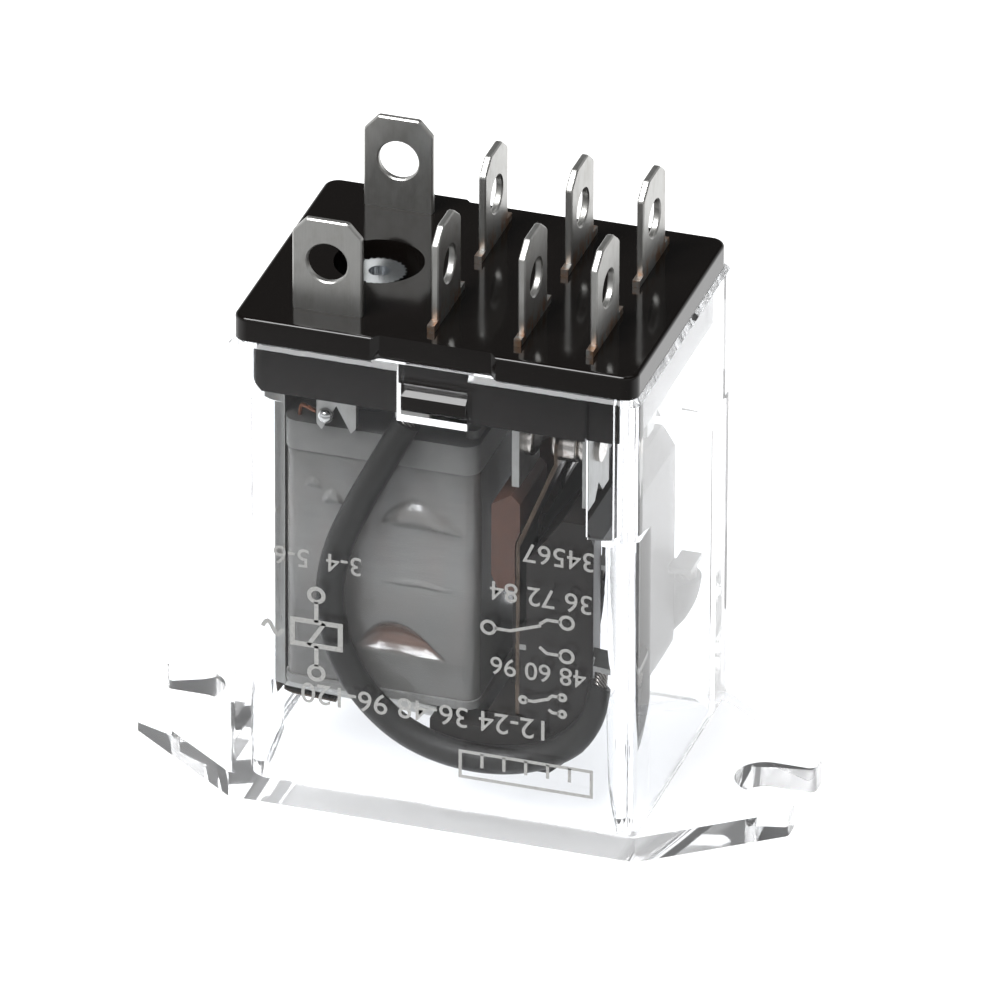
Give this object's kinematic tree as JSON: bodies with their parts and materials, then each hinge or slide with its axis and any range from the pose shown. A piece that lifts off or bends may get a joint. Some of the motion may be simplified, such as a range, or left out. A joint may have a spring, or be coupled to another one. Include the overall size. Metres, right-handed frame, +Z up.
{
  "type": "plug in relay",
  "caption": "Plug-in power relay in a clear flanged cover, with coil and contact tabs, working armature, moving contacts and flexible leads.",
  "frame": {"origin": "centre of the flange's flat end face, which the relay stands on", "axes": "+Z up through the base and out of the blades; X along the two mounting ears with the coil on the -X side; Y across them"},
  "size_m": [0.045, 0.0206, 0.0428],
  "materials": {
    "clear_plastic": "clear moulded polycarbonate, polished",
    "black_plastic": "black thermoset moulding, glossy",
    "black_moulding": "black phenolic moulding, satin",
    "plated_blade": "tin-plated brass, fine rolling lines",
    "plated_steel": "zinc-plated steel, satin",
    "core_steel": "plated iron, knurled end",
    "copper": "bare copper, slightly darkened",
    "fibre": "red-brown vulcanised fibre",
    "bronze": "phosphor bronze strip",
    "brass_rivet": "brass",
    "silver_contact": "silver alloy contact face",
    "nylon": "natural nylon, slightly translucent",
    "coil_tape": "grey polyester tape",
    "magnet_wire": "enamelled copper wire",
    "solder": "solder",
    "braid": "stranded copper",
    "black_sleeve": "black sleeving, satin"
  },
  "bodies": {
    "housing": {"bobbin": "nylon", "clear_cover": "clear_plastic", "closed_contact_back": "silver_contact", "closed_contact_front": "silver_contact", "closed_terminal_back": "plated_blade", "closed_terminal_front": "plated_blade", "coil_lead_back": "magnet_wire", "coil_lead_front": "magnet_wire", "coil_solder_back": "solder", "coil_solder_front": "solder", "coil_tape": "coil_tape", "coil_terminal_back": "plated_blade", "coil_terminal_front": "plated_blade", "coil_winding": "magnet_wire", "common_terminal_back": "plated_blade", "common_terminal_front": "plated_blade", "core": "core_steel", "hinge_spring": "bronze", "lead_sleeve_back": "black_sleeve", "lead_sleeve_front": "black_sleeve", "lead_wire_back": "braid", "lead_wire_front": "braid", "open_contact_back": "silver_contact", "open_contact_front": "silver_contact", "open_terminal_back": "plated_blade", "open_terminal_front": "plated_blade", "shading_ring": "copper", "terminal_base": "black_plastic", "yoke": "plated_steel"},
    "armature_assembly": {"armature": "plated_steel", "contact_carrier": "black_moulding", "moving_spring_front": "bronze", "moving_spring_back": "bronze", "spring_backing_front": "fibre", "spring_backing_back": "fibre", "moving_contact_front": "silver_contact", "moving_contact_back": "silver_contact", "carrier_rivets_front": "brass_rivet", "carrier_rivets_back": "brass_rivet", "lead_tag_front": "plated_steel", "lead_tag_back": "plated_steel"}
  },
  "joints": [
    {"name": "armature_pivot", "type": "hinge", "parent": "housing", "child": "armature_assembly", "pos_m": [-0.013, 0, 0.00688], "axis": [0, -1, 0], "range_deg": [0, 3], "stiffness_Nm_per_rad": 0.03, "springref_deg": -14.32, "deforming": ["hinge_spring", "lead_wire_front", "lead_wire_back", "lead_sleeve_front", "lead_sleeve_back"]}
  ]
}
